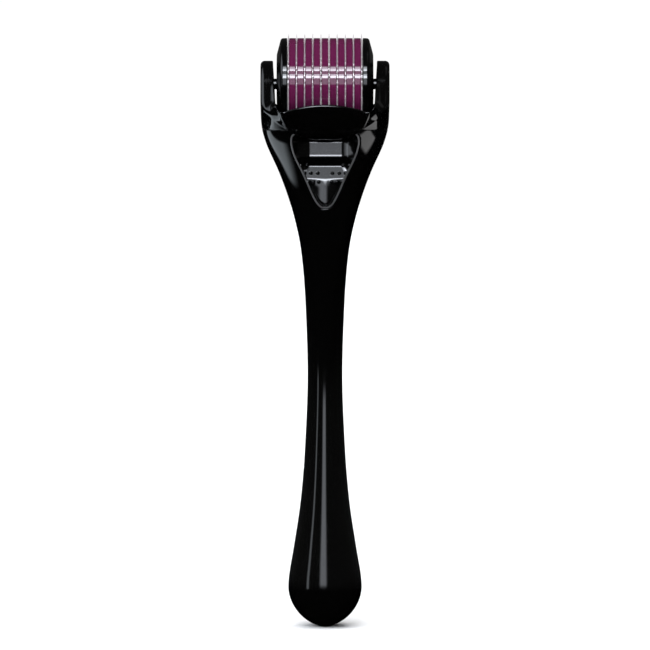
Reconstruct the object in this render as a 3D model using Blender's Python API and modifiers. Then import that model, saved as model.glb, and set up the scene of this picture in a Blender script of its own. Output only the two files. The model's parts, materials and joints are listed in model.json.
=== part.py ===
"""Derma roller: a hand tool with a needle drum that spins between the arms of a yoke.

Frame: metres, +Z up along the handle, the working side (guard and thumb rest) faces -Y, and the
origin is the handle's lower end, on its axis. The handle is two moulded shells. They clamp the
stem of the yoke, whose arms carry the drum: needle discs and spacer rings on a hexagonal core,
closed by two end caps whose stub axles run in the arms.
"""

import math

import bmesh
import bpy
from mathutils import Matrix, Vector

MM = 0.001

# Driving dimensions, in millimetres.
AXLE_Z = 127.8  # height of the drum's axis
AXLE_Y = -5.0  # the drum leans forward of the handle's own axis
DRUM_R = 10.65  # spacer rings and end caps
NEEDLE_TIP_R = 11.75
NEEDLE_ROOT_R = 10.4
NEEDLE_WIDTH = 0.62  # at the root
NEEDLES = 54  # around one disc
DISCS = 10
DISC_PITCH = 1.885
DISC_THICK = 0.28
STACK_GAP = 0.04  # between a disc and the rings beside it
DISC_STAGGER = 1 / 3  # of a needle's pitch, from one disc to the next

CORE_FLAT_R = 3.6  # centre to corner of the core's hexagon
CORE_GAP = 0.08
CORE_BORE_R = 2.0
CAP_WIDTH = 2.45
CAP_FACE_R = 6.9
CAP_EDGE = 0.8  # how far the cone runs in from the outer face
STUB_R = 1.25
STUB_HOLE_R = 1.32
SPIGOT_R = 1.94
SPIGOT_LENGTH = 5.0

FORK_HALF_WIDTH = 15.0
SEAM_Z = 117.3  # where the shells end and the yoke begins
SEAM_GAP = 0.12
PARTING_GAP = 0.1
WALL = 1.6
LIP_WALL = 0.7  # the front shell's lip outside the tongue
TONGUE_INSET = 0.85
TONGUE_REACH = 0.7
CLEARANCE_R = 12.4  # the trough around the needle tips
CAP_CLEARANCE_R = 11.1
TROUGH_HALF = 9.0  # half length of the wide part of the trough
GUARD_R = 13.5
GUARD_HALF = 10.6
SMILE_Z = 129.3  # the arc between the thumb rest and the guard, seen from the front
SMILE_R = 14.8
INSERT_GAP = 0.2
INSERT_THICK = 1.7
NUB_R = 0.36

# The handle from the side and the front, as (height, half width, half depth, middle's y, squareness).
BULB_Z = 9.8
HANDLE = [
    (BULB_Z, 8.70, 7.8, 0.0, 2.0),
    (18.0, 7.50, 6.9, 0.2, 2.0),
    (29.8, 5.74, 5.6, 0.6, 2.0),
    (41.6, 4.76, 4.9, 1.0, 2.0),
    (59.4, 4.09, 4.5, 1.4, 2.0),
    (76.9, 4.62, 4.9, 1.0, 2.05),
    (88.6, 5.59, 5.6, 0.2, 2.1),
    (98.0, 7.58, 6.8, -0.8, 2.2),
    (107.4, 10.80, 8.4, -2.0, 2.4),
    (114.5, 13.99, 9.9, -3.1, 2.7),
    (SEAM_Z, 14.70, 10.3, -3.4, 2.8),
]
# The arms' blank above the seam, as (height, half width, front depth, back depth) from the axle's y.
YOKE = [
    (SEAM_Z, 14.70, 8.7, 11.9),
    (119.0, 14.95, 9.8, 12.0),
    (121.0, 15.08, 10.4, 11.4),
    (123.0, 15.15, 9.6, 10.4),
    (125.6, 15.15, 7.9, 8.8),
    (127.8, 15.10, 6.6, 7.2),
    (130.0, 14.90, 5.6, 6.0),
    (131.8, 14.60, 4.3, 4.6),
    (133.0, 13.90, 2.7, 2.9),
    (133.4, 13.00, 1.6, 1.7),
]
YOKE_SQUARENESS = 3.6
CAP_GUARD_R = 11.68  # the wall that closes the corner between the guard and an arm
# Half the thumb rest's outline, as (half width, height).
SHIELD = [
    (6.3, SEAM_Z + 3.0),
    (6.9, 116.9),
    (8.0, 115.8),
    (8.15, 114.5),
    (7.7, 112.1),
    (6.8, 109.8),
    (5.8, 107.8),
    (4.5, 105.0),
    (3.25, 102.3),
    (2.0, 100.3),
    (0.9, 99.1),
    (0.25, 98.8),
]
# The thumb rest down its middle, as (height, y): a pad under the guard, a dip, and a ramp to the tip.
SCOOP = [
    (117.5, -7.5),
    (115.0, -7.9),
    (113.0, -8.5),
    (111.0, -9.1),
    (110.2, -8.85),
    (109.2, -8.25),
    (108.4, -8.2),
    (107.0, -8.6),
    (105.0, -9.05),
    (102.0, -9.15),
    (99.6, -8.95),
    (98.0, -8.2),
]
SLOT_TOP = 12.1  # half the gap between the arms, at their tips and lower down
SLOT_LOW = 11.65
GUARD_TOP_Z = 123.1
GUARD_ARC_R = 28.4  # the guard's top edge, seen from the front

SECTION_POINTS = 32


def hermite(table, at, column):
    """The column of a table at a height, on a smooth curve that never overshoots its points."""
    heights = [row[0] for row in table]
    values = [row[column] for row in table]
    if at <= heights[0]:
        return values[0]
    if at >= heights[-1]:
        return values[-1]
    slopes = [
        (values[i + 1] - values[i]) / (heights[i + 1] - heights[i])
        for i in range(len(heights) - 1)
    ]
    tangents = [0.0 if len(table) > 2 else slopes[0]]
    for before, after in zip(slopes, slopes[1:]):
        tangents.append(
            0.0 if before * after <= 0 else 2 * before * after / (before + after)
        )
    tangents.append(slopes[-1])
    i = max(k for k in range(len(slopes)) if heights[k] <= at)
    span = heights[i + 1] - heights[i]
    t = (at - heights[i]) / span
    return (
        values[i] * (1 + 2 * t) * (1 - t) ** 2
        + tangents[i] * span * t * (1 - t) ** 2
        + values[i + 1] * t * t * (3 - 2 * t)
        + tangents[i + 1] * span * t * t * (t - 1)
    )


def handle_at(z):
    """(half width, half depth, middle's y, squareness) of the handle at a height."""
    width, depth, middle, square = (hermite(HANDLE, z, c) for c in (1, 2, 3, 4))
    if z < BULB_Z:
        share = max(0.0, 1 - (1 - z / BULB_Z) ** 2) ** 0.58
        width, depth = width * share, depth * share
    return width, depth, middle, square


def oval(width, front, back, middle, square, z, points=SECTION_POINTS):
    """A closed oval at height z. Squareness 2 is an ellipse, and more is boxier."""
    ring = []
    for i in range(points):
        turn = 2 * math.pi * i / points
        c, s = math.cos(turn), math.sin(turn)
        x = width * math.copysign(abs(c) ** (2 / square), c)
        depth = back if s > 0 else front
        y = middle + depth * math.copysign(abs(s) ** (2 / square), s)
        ring.append(Vector((x, y, z)) * MM)
    return ring


# --- scene helpers -------------------------------------------------------------------------


def clear_scene():
    for obj in list(bpy.data.objects):
        bpy.data.objects.remove(obj)


def collection(name):
    made = bpy.data.collections.new(name)
    bpy.context.scene.collection.children.link(made)
    return made


def plastic(name, colour, roughness, metallic=0.0):
    made = bpy.data.materials.new(name)
    made.use_nodes = True
    shader = made.node_tree.nodes["Principled BSDF"]
    shader.inputs["Base Color"].default_value = (*colour, 1.0)
    shader.inputs["Roughness"].default_value = roughness
    shader.inputs["Metallic"].default_value = metallic
    return made


def add_object(name, mesh, parent, material=None):
    """A new object in the right collection. One with no material is a cutter, which isn't rendered."""
    obj = bpy.data.objects.new(name, mesh)
    obj.parent = parent
    if material is None:
        CUTTERS.objects.link(obj)
        obj.hide_render = True
        obj.display_type = "WIRE"
    else:
        PARTS.objects.link(obj)
        obj.data.materials.append(material)
    return obj


def mesh_from(name, bm, turn_outward=True):
    if turn_outward:
        bmesh.ops.recalc_face_normals(bm, faces=bm.faces)
    mesh = bpy.data.meshes.new(name)
    bm.to_mesh(mesh)
    bm.free()
    return mesh


def loft(name, rings, parent, material=None):
    """A closed solid through rings of equal count. A ring of one point is a pole."""
    bm = bmesh.new()
    rows = [[bm.verts.new(p) for p in ring] for ring in rings]
    for low, high in zip(rows, rows[1:]):
        count = max(len(low), len(high))
        for i in range(count):
            corners = [
                low[i % len(low)],
                low[(i + 1) % len(low)],
                high[(i + 1) % len(high)],
                high[i % len(high)],
            ]
            bm.faces.new(list(dict.fromkeys(corners)))
    for end in (rows[0], rows[-1]):
        if len(end) > 1:
            bm.faces.new(end)
    return add_object(name, mesh_from(name, bm), parent, material)


def outline_curve(name, outlines, thickness):
    """A 2D curve in its own XY plane, filled and extruded to a thickness. A second outline is a hole."""
    curve = bpy.data.curves.new(name, "CURVE")
    curve.dimensions = "2D"
    curve.fill_mode = "BOTH"
    curve.extrude = thickness / 2 * MM
    for outline in outlines:
        spline = curve.splines.new("POLY")
        spline.points.add(len(outline) - 1)
        for point, (x, y) in zip(spline.points, outline):
            point.co = (x * MM, y * MM, 0, 1)
        spline.use_cyclic_u = True
    return curve


def prism(name, outlines, thickness, place, turn, parent, material=None):
    """An extruded outline as a mesh object, turned and placed."""
    guide = bpy.data.objects.new(name, outline_curve(name, outlines, thickness))
    bpy.context.scene.collection.objects.link(guide)
    graph = bpy.context.evaluated_depsgraph_get()
    mesh = bpy.data.meshes.new_from_object(guide.evaluated_get(graph))
    bpy.data.objects.remove(guide)
    bm = bmesh.new()
    bm.from_mesh(mesh)
    bmesh.ops.remove_doubles(bm, verts=bm.verts, dist=1e-6)
    bmesh.ops.recalc_face_normals(bm, faces=bm.faces)
    bm.to_mesh(mesh)
    bm.free()
    obj = add_object(name, mesh, parent, material)
    obj.rotation_euler = turn
    obj.location = Vector(place) * MM
    return obj


ALONG_X = (math.pi / 2, 0, math.pi / 2)  # outline (a, b) becomes (y, z)
ALONG_Y = (math.pi / 2, 0, 0)  # outline (a, b) becomes (x, z)


def rod(name, radius, start, end, parent, segments=20):
    """A cylinder between two points, in millimetres, as a cutter or as something to join."""
    start, end = Vector(start) * MM, Vector(end) * MM
    axis = end - start
    bm = bmesh.new()
    bmesh.ops.create_cone(
        bm,
        cap_ends=True,
        segments=segments,
        radius1=radius * MM,
        radius2=radius * MM,
        depth=axis.length,
    )
    half_step = Matrix.Rotation(math.pi / segments, 3, "Z")
    bmesh.ops.rotate(bm, verts=bm.verts, cent=(0, 0, 0), matrix=half_step)
    obj = add_object(name, mesh_from(name, bm), parent)
    obj.rotation_mode = "QUATERNION"
    obj.rotation_quaternion = axis.to_track_quat("Z", "Y")
    obj.location = (start + end) / 2
    return obj


def turned(name, profile, steps, parent, material):
    """A solid turned about its own Z from (radius, height) points that run down its outer side."""
    mesh = bpy.data.meshes.new(name)
    points = [(r * MM, 0, h * MM) for r, h in profile]
    mesh.from_pydata(points, [(i, i + 1) for i in range(len(points) - 1)], [])
    obj = add_object(name, mesh, parent, material)
    screw = obj.modifiers.new("turn", "SCREW")
    screw.steps = screw.render_steps = steps
    screw.use_merge_vertices = True
    screw.merge_threshold = 1e-5
    return obj


def combine(obj, operation, *others):
    for other in others:
        cut = obj.modifiers.new(f"{operation.lower()} {other.name}", "BOOLEAN")
        cut.operation = operation
        cut.object = other
        cut.solver = "EXACT"


def smooth(obj, degrees=35):
    obj.data.shade_smooth()
    obj.data.set_sharp_from_angle(angle=math.radians(degrees))


# --- the handle and the yoke's stem --------------------------------------------------------


def handle_heights():
    """Heights close together where the form turns fast, and further apart along the neck."""
    bulb = [0.35, 1.1, 2.3, 4.0, 6.2, 8.3]
    body = [BULB_Z, 12.5, 16, 21, 27, 34, 42, 51, 60, 69, 78, 86, 92, 97, 101.5]
    head = [105.5, 109, 111.6, 114.2, 116.2, SEAM_Z]
    return bulb + body + head


def half_ring(z, inset, side, lip=0.0):
    """Half the handle's section, front (-1) or rear (1), from +X round to -X, one inset further in.

    lip is how far past the parting surface the ring's two ends reach, or stop short if negative.
    """
    inner_z = z if z > BULB_Z else inset + z * (BULB_Z - inset) / BULB_Z
    width, depth, middle, square = handle_at(z)
    shrink = inset if z > BULB_Z else inset * width / handle_at(BULB_Z)[0]
    ring = oval(width - shrink, depth - shrink, depth - shrink, 0, square, inner_z)
    half = ring[: SECTION_POINTS // 2 + 1]
    for i, point in enumerate(half):
        least = -lip if i in (0, len(half) - 1) else max(0.3, -lip)
        along = least if i in (0, len(half) - 1) or not width else max(least, point.y / MM)
        point.y = (middle + side * along) * MM
    return half


def section_loop(z, side):
    """One shell's whole section: its outer face, the lapped edge at -X, its inner face and +X's edge."""
    if side > 0:
        butt, step, reach = -PARTING_GAP / 2, TONGUE_INSET, TONGUE_REACH
    else:
        butt, step, reach = -PARTING_GAP / 2, LIP_WALL, -TONGUE_REACH - 0.25
    outer = half_ring(z, 0, side, butt)
    near = half_ring(z, step, side, butt)
    far = half_ring(z, step, side, reach)
    inner = half_ring(z, WALL, side, reach)
    return outer + [near[-1], far[-1]] + inner[::-1] + [far[0], near[0]]


def half_shell(name, side, parent):
    """One moulded half of the handle. The rear's edge has a tongue that laps inside the front's lip."""
    bm = bmesh.new()
    rows = []
    for z in [0.0] + handle_heights():
        made = {}
        row = []
        for point in section_loop(z, side):
            key = tuple(round(c / MM, 4) for c in point)
            if key not in made:
                made[key] = bm.verts.new(point)
            row.append(made[key])
        rows.append(row)
    for low, high in zip(rows, rows[1:]):
        for i in range(len(low)):
            j = (i + 1) % len(low)
            bm.faces.new(list(dict.fromkeys([low[i], low[j], high[j], high[i]])))
    bm.faces.new(rows[-1])
    return add_object(name, mesh_from(name, bm), parent, BLACK)


def shield_outline(grow=0.0):
    """The thumb rest's outline in (x, z), both halves, optionally grown sideways."""
    right = [(w + grow, z - (grow if w < 1 else 0)) for w, z in SHIELD]
    return right + [(-w, z) for w, z in reversed(right)]


PINS = [(11.0, 1.1), (40.0, 0.9), (91.0, 1.1)]  # (height, radius) of the shells' locating pins
PIN_REACH = 2.6
SOCKET_WALL = 0.8


def front_shell(rig):
    shell = half_shell("handle_front_shell", -1, rig)
    opening = prism(
        "shield_opening", [shield_outline(INSERT_GAP)], 30, (0, -19, 0), ALONG_Y, rig
    )
    combine(shell, "DIFFERENCE", opening)
    for z, radius in PINS:
        middle = hermite(HANDLE, z, 3)
        wall = hermite(HANDLE, z, 2) - WALL / 2
        pin = rod(
            f"pin_{z:.0f}", radius, (0, middle - wall, z), (0, middle + PIN_REACH, z), rig, 16
        )
        combine(shell, "UNION", pin)
    smooth(shell)
    return shell


def rear_shell(rig):
    shell = half_shell("handle_rear_shell", 1, rig)
    for z, radius in PINS:
        middle = hermite(HANDLE, z, 3)
        wall = hermite(HANDLE, z, 2) - WALL / 2
        outer = radius + 0.12 + SOCKET_WALL
        socket = rod(
            f"socket_{z:.0f}", outer, (0, middle + 0.5, z), (0, middle + wall, z), rig, 16
        )
        bore = rod(
            f"socket_bore_{z:.0f}",
            radius + 0.12,
            (0, middle - 1, z),
            (0, middle + PIN_REACH + 0.2, z),
            rig,
            16,
        )
        combine(shell, "UNION", socket)
        combine(shell, "DIFFERENCE", bore)
    lock = rod(
        "stem_lock", LOCK_R, (0, STEM_BACK_Y - LOCK_REACH, LOCK_Z), (0, 5.6, LOCK_Z), rig, 16
    )
    combine(shell, "UNION", lock)
    smooth(shell)
    return shell


# --- the yoke ------------------------------------------------------------------------------

STEM_HALF = 4.6
STEM_FRONT_Y = -4.4
STEM_BACK_Y = 3.6
STEM_LOW_Z = 103.5
PLUG_LOW_Z = 112.2
LOCK_Z = 107.5  # where the rear shell's peg enters the stem
LOCK_R = 1.3
LOCK_REACH = 3.0
PEG_X = 2.4  # the thumb rest's pegs
PEG_Z = 108.4
PEG_R = 0.95
PEG_REACH = 2.4


def yoke_blank(rig):
    """The yoke's outer form above the seam, before anything is cut."""
    heights = [SEAM_Z + SEAM_GAP, 118.6, 120, 121.6, 123, 124.4, 126, 127.8, 129.6, 131, 132.2, 133, 133.4]
    rings = []
    for z in heights:
        width, front, back = (hermite(YOKE, z, c) for c in (1, 2, 3))
        rings.append(oval(width, front, back, AXLE_Y, YOKE_SQUARENESS, z, 36))
    return loft("yoke", rings, rig, BLACK)


def slot_outline():
    """The gap between the arms, seen from the front: straight sides over the guard's arched edge."""
    centre = GUARD_TOP_Z - GUARD_ARC_R
    reach = 9.4
    arc = []
    for i in range(14):
        x = -reach + 2 * reach * i / 13
        arc.append((x, centre + math.sqrt(GUARD_ARC_R**2 - x * x)))
    side = [(10.6, 120.9), (11.2, 121.3), (SLOT_LOW, 123.4), (SLOT_TOP, 132.0), (SLOT_TOP, 140.0)]
    return arc + side + [(-x, z) for x, z in reversed(side)]


def guard_outline():
    """The guard and the trough's back wall, seen from the front: their sides close in towards the seam."""
    half = [(GUARD_HALF, 127.0), (GUARD_HALF, 122.6), (10.2, 120.2), (9.6, 118.6), (8.9, 117.5)]
    return half + [(-x, z) for x, z in reversed(half)]


def yoke(rig):
    body = yoke_blank(rig)
    rings = []
    for z in (PLUG_LOW_Z, 113.5, 115.3, SEAM_Z + 1.0):
        width, depth, middle, square = handle_at(z)
        inset = WALL + SEAM_GAP
        rings.append(oval(width - inset, depth - inset, depth - inset, middle, square, z))
    plug = loft("plug", rings, rig)
    clear_of_insert = prism(
        "clear_of_insert",
        [shield_outline(0.5)],
        10,
        (0, STEM_FRONT_Y - 5.0, 0),
        ALONG_Y,
        rig,
    )
    combine(plug, "DIFFERENCE", clear_of_insert)
    guard_ends = (-GUARD_HALF - 1, AXLE_Y, AXLE_Z), (GUARD_HALF + 1, AXLE_Y, AXLE_Z)
    guard = rod("guard", GUARD_R, *guard_ends, rig, 72)
    guard_sides = prism("guard_sides", [guard_outline()], 60, (0, 0, 0), ALONG_Y, rig)
    combine(guard, "INTERSECT", guard_sides)
    corners_box = [(11.9, 122.2), (11.9, 117.55), (-11.9, 117.55), (-11.9, 122.2)]
    corners = rod("corners", CAP_GUARD_R, (-12.3, AXLE_Y, AXLE_Z), (12.3, AXLE_Y, AXLE_Z), rig, 68)
    corner_band = prism("corner_band", [corners_box], 60, (0, 0, 0), ALONG_Y, rig)
    combine(corners, "INTERSECT", corner_band)
    chin = rod("chin", GUARD_R - 0.05, *guard_ends, rig, 72)
    chin_low = AXLE_Z - GUARD_R - 1
    chin_box = [
        (AXLE_Y - GUARD_R - 1, chin_low),
        (STEM_FRONT_Y + 0.6, chin_low),
        (STEM_FRONT_Y + 0.6, SEAM_Z + 1.3),
        (AXLE_Y - GUARD_R - 1, SEAM_Z + 1.3),
    ]
    chin_front = prism("chin_front", [chin_box], 30, (0, 0, 0), ALONG_X, rig)
    chin_sides = prism("chin_sides", [shield_outline(0)], 40, (0, -10, 0), ALONG_Y, rig)
    smile = rod("smile", SMILE_R, (0, -30, SMILE_Z), (0, 10, SMILE_Z), rig, 96)
    combine(chin, "INTERSECT", chin_front, chin_sides, smile)
    stem_outline = [
        (STEM_FRONT_Y, STEM_LOW_Z),
        (STEM_BACK_Y, STEM_LOW_Z),
        (STEM_BACK_Y, PLUG_LOW_Z + 1.5),
        (STEM_FRONT_Y, PLUG_LOW_Z + 1.5),
    ]
    stem = prism("stem", [stem_outline], 2 * STEM_HALF, (0, 0, 0), ALONG_X, rig)
    combine(body, "UNION", plug, corners, guard, chin, stem)
    slot = prism("slot", [slot_outline()], 60, (0, 0, 0), ALONG_Y, rig)
    trough = rod(
        "trough",
        CLEARANCE_R,
        (-TROUGH_HALF, AXLE_Y, AXLE_Z),
        (TROUGH_HALF, AXLE_Y, AXLE_Z),
        rig,
        56,
    )
    cap_trough = rod(
        "cap_trough",
        CAP_CLEARANCE_R,
        (-SLOT_LOW, AXLE_Y, AXLE_Z),
        (SLOT_LOW, AXLE_Y, AXLE_Z),
        rig,
        48,
    )
    axle_holes = rod(
        "axle_holes", STUB_HOLE_R, (-20, AXLE_Y, AXLE_Z), (20, AXLE_Y, AXLE_Z), rig, 24
    )
    lock_hole = rod(
        "lock_hole",
        LOCK_R + 0.12,
        (0, STEM_BACK_Y - LOCK_REACH - 0.3, LOCK_Z),
        (0, STEM_BACK_Y + 2, LOCK_Z),
        rig,
        16,
    )
    flats = prism(
        "arm_flats",
        [
            [(-20, 90), (20, 90), (20, 150), (-20, 150)],
            [
                (-FORK_HALF_WIDTH, 95),
                (FORK_HALF_WIDTH, 95),
                (FORK_HALF_WIDTH, 145),
                (-FORK_HALF_WIDTH, 145),
            ],
        ],
        60,
        (0, 0, 0),
        ALONG_Y,
        rig,
    )
    combine(body, "DIFFERENCE", slot, trough, cap_trough, flats, axle_holes, lock_hole)
    for side in (-1, 1):
        hole = rod(
            f"peg_hole_{'left' if side < 0 else 'right'}",
            PEG_R + 0.12,
            (side * PEG_X, STEM_FRONT_Y - 2, PEG_Z),
            (side * PEG_X, STEM_FRONT_Y + PEG_REACH + 0.3, PEG_Z),
            rig,
            14,
        )
        combine(body, "DIFFERENCE", hole)
    smooth(body)
    return body


# --- the thumb rest ------------------------------------------------------------------------


def handle_front(x, z):
    """y of the handle's front surface."""
    width, depth, middle, square = handle_at(z)
    return middle - depth * (1 - abs(x / width) ** square) ** (1 / square)


def rim_front(x, z):
    """y of the thin rim around the thumb rest, which lies just under the handle's surface."""
    return handle_front(x, z) + RIM_DROP


def smoothstep(t):
    t = min(1.0, max(0.0, t))
    return t * t * (3 - 2 * t)


def rest_front(x, z):
    """y of the thumb rest's front face: cheeks that curve forward beside the pad, and a crowned ramp."""
    centre = hermite([(-h, y) for h, y in SCOOP], -z, 1)
    cheek = -CHEEK * max(0.0, abs(x) - PAD_HALF) ** 2
    crown = CROWN * (math.hypot(1.2, x) - 1.2)
    return centre + smoothstep((z - 107.0) / 3.0) * cheek + smoothstep((106.0 - z) / 2.5) * crown


def shield_half(z):
    rows = [(-h, w) for w, h in SHIELD]
    return hermite(rows, -z, 1)


NUB_ROWS = [(108.9, (4.2, 5.6)), (107.1, (1.7, 3.3, 4.75)), (105.1, (1.45, 2.7, 3.9))]
RIM_WIDTH = 0.45
RIM_DROP = 0.06
PAD_HALF = 3.4  # half the pad, which is flat from side to side
CHEEK = 0.13  # how fast the sides of the scoop come forward
CROWN = 0.28  # how fast the ramp falls away to its edges


def thumb_rest(rig):
    heights = [117.0, 116.2, 115.3, 114.2] + [113.1 - i for i in range(13)] + [99.5, 99.0]
    rings = []
    for z in heights:
        half = shield_half(z)
        rim = min(RIM_WIDTH, 0.35 * half)
        floor_half = half - rim - min(0.08, 0.1 * half)
        across = [floor_half * (i / 5.5 - 1) for i in range(12)]
        front = [(-half, rim_front(half, z)), (rim - half, rim_front(half - rim, z))]
        front += [(x, rest_front(x, z)) for x in across]
        front += [(half - rim, rim_front(half - rim, z)), (half, rim_front(half, z))]
        edges = [-half, rim - half] + across + [half - rim, half]
        back = [(x, rest_front(x, z) + INSERT_THICK) for x in reversed(edges)]
        rings.append([Vector((x, y, z)) * MM for x, y in front + back])
    body = loft("thumb_rest", rings, rig, BLACK)
    smile = rod("smile_gap", SMILE_R + 0.15, (0, -30, SMILE_Z), (0, 10, SMILE_Z), rig, 96)
    combine(body, "DIFFERENCE", smile)
    for side in (-1, 1):
        peg = rod(
            f"peg_{'left' if side < 0 else 'right'}",
            PEG_R,
            (side * PEG_X, -7.2, PEG_Z),
            (side * PEG_X, STEM_FRONT_Y + PEG_REACH, PEG_Z),
            rig,
            12,
        )
        combine(body, "UNION", peg)
    nubs = bmesh.new()
    for z, places in NUB_ROWS:
        for x in [s * p for p in places for s in (-1, 1)]:
            centre = Vector((x, rest_front(x, z), z)) * MM
            bmesh.ops.create_uvsphere(
                nubs,
                u_segments=8,
                v_segments=5,
                radius=NUB_R * MM,
                matrix=Matrix.Translation(centre),
            )
    combine(body, "UNION", add_object("nubs", mesh_from("nubs", nubs, False), rig))
    smooth(body)
    return body


# --- the drum ------------------------------------------------------------------------------


def circle(radius, points, start=0.0):
    return [
        (
            radius * math.cos(start + 2 * math.pi * i / points),
            radius * math.sin(start + 2 * math.pi * i / points),
        )
        for i in range(points)
    ]


def needle_outline(phase):
    """A disc's edge: each needle stands on the root circle and comes to a point."""
    outline = []
    half_root = NEEDLE_WIDTH / 2 / NEEDLE_ROOT_R
    for i in range(NEEDLES):
        middle = 2 * math.pi * (i + phase) / NEEDLES
        for radius, angle in (
            (NEEDLE_ROOT_R, middle - half_root),
            (NEEDLE_TIP_R, middle),
            (NEEDLE_ROOT_R, middle + half_root),
        ):
            outline.append((radius * math.cos(angle), radius * math.sin(angle)))
    return outline


def drum(axle):
    """The spinning drum, built along X about the axle."""
    hexagon = circle(CORE_FLAT_R + CORE_GAP, 6)
    first = -(DISCS - 1) / 2 * DISC_PITCH
    for i in range(DISCS):
        prism(
            f"needle_disc_{i + 1:02d}",
            [needle_outline(i * DISC_STAGGER), hexagon],
            DISC_THICK,
            (first + i * DISC_PITCH, 0, 0),
            ALONG_X,
            axle,
            STEEL,
        )
    ring_thick = DISC_PITCH - DISC_THICK - 2 * STACK_GAP
    for i in range(DISCS - 1):
        ring = prism(
            f"spacer_ring_{i + 1}",
            [circle(DRUM_R, 40), hexagon],
            ring_thick,
            (first + (i + 0.5) * DISC_PITCH, 0, 0),
            ALONG_X,
            axle,
            PURPLE,
        )
        smooth(ring)
    core_length = (DISCS - 1) * DISC_PITCH + DISC_THICK + 0.2
    prism(
        "drum_core",
        [circle(CORE_FLAT_R, 6), circle(CORE_BORE_R, 16)],
        core_length,
        (0, 0, 0),
        ALONG_X,
        axle,
        BLACK,
    )
    inner = core_length / 2 + STACK_GAP
    outer = inner + CAP_WIDTH
    profile = [
        (0, FORK_HALF_WIDTH - 0.7),
        (STUB_R - 0.25, FORK_HALF_WIDTH - 0.7),
        (STUB_R, FORK_HALF_WIDTH - 0.95),
        (STUB_R, outer),
        (CAP_FACE_R - 0.4, outer),
        (CAP_FACE_R, outer - 0.15),
        (DRUM_R - 0.5, outer - CAP_EDGE),
        (DRUM_R, outer - CAP_EDGE - 0.45),
        (DRUM_R, inner),
        (SPIGOT_R, inner),
        (SPIGOT_R, inner - SPIGOT_LENGTH),
        (0, inner - SPIGOT_LENGTH),
    ]
    for name, turn in (("end_cap_right", math.pi / 2), ("end_cap_left", -math.pi / 2)):
        cap = turned(name, profile, 44, axle, BLACK)
        cap.rotation_euler = (0, turn, 0)
        smooth(cap)


clear_scene()
PARTS = collection("derma_roller")
CUTTERS = collection("cutters")
BLACK = plastic("black gloss plastic", (0.006, 0.006, 0.007), 0.12)
PURPLE = plastic("purple plastic", (0.145, 0.014, 0.09), 0.22)
STEEL = plastic("needle steel", (0.72, 0.70, 0.72), 0.28, 1.0)

rig = bpy.data.objects.new("handle_axis", None)
PARTS.objects.link(rig)
axle = bpy.data.objects.new("drum_axle", None)
PARTS.objects.link(axle)
axle.parent = rig
axle.location = Vector((0, AXLE_Y, AXLE_Z)) * MM

front_shell(rig)
rear_shell(rig)
yoke(rig)
thumb_rest(rig)
drum(axle)
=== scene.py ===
"""Looks of the derma roller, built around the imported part: smooth glossy shells, yoke, thumb rest and drum.

Lengths are in millimetres until a mesh is made. The formed plastic pieces are signed-distance fields:
each is meshed by surface nets, its points are pulled onto the field's zero surface, and its normals
come from the field, so that rounded edges and long reflections stay smooth. The drum's pieces are
profiles turned about the axle. X runs along the axle, -Y is the front and Z is up.
"""

import json
import math

import bpy
import numpy as np
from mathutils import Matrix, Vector

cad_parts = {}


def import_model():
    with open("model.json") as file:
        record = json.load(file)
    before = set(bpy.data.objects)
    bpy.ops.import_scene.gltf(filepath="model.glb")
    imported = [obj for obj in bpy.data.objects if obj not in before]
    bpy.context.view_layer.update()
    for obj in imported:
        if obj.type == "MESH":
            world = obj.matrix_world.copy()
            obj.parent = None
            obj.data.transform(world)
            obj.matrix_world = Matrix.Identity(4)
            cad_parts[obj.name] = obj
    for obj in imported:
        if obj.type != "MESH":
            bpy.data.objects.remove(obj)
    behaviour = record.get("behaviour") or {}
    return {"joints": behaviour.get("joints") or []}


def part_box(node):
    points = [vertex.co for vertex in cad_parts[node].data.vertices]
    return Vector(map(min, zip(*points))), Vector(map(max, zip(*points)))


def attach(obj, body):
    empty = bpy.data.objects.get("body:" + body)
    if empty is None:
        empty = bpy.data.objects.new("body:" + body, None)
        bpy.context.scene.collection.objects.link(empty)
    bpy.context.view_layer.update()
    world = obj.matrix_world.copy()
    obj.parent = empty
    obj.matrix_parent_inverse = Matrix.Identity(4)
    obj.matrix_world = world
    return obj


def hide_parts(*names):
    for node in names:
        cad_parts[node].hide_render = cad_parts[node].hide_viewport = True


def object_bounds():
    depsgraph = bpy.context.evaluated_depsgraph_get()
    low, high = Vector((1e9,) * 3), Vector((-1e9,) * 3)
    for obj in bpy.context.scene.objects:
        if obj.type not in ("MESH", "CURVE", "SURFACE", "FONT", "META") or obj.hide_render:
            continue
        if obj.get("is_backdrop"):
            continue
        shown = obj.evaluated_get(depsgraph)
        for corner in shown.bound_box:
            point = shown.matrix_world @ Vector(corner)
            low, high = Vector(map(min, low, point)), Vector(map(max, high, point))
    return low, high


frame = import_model()
cad_low, cad_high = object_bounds()

MM = 0.001

# --- places taken from the frame -----------------------------------------------------------


def box_mm(node):
    low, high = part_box(node)
    return np.array(low) / MM, np.array(high) / MM


AXLE_Y, AXLE_Z = (value / MM for value in frame["joints"][0]["pos_m"][1:])
ARM_TOP_Z = box_mm("yoke")[1][2]
SEAM_Z = box_mm("handle_rear_shell")[1][2]
DRUM_R = box_mm("end_cap_right")[1][2] - AXLE_Z
NEEDLE_TIP_R = box_mm("needle_disc_01")[1][2] - AXLE_Z

# --- the form of the plastic pieces, close to the part's -----------------------------------

# Below its widest height the bulb closes with a rounded end.
BULB_Z = 9.8
BULB_POWER = 1 / 0.58
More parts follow.
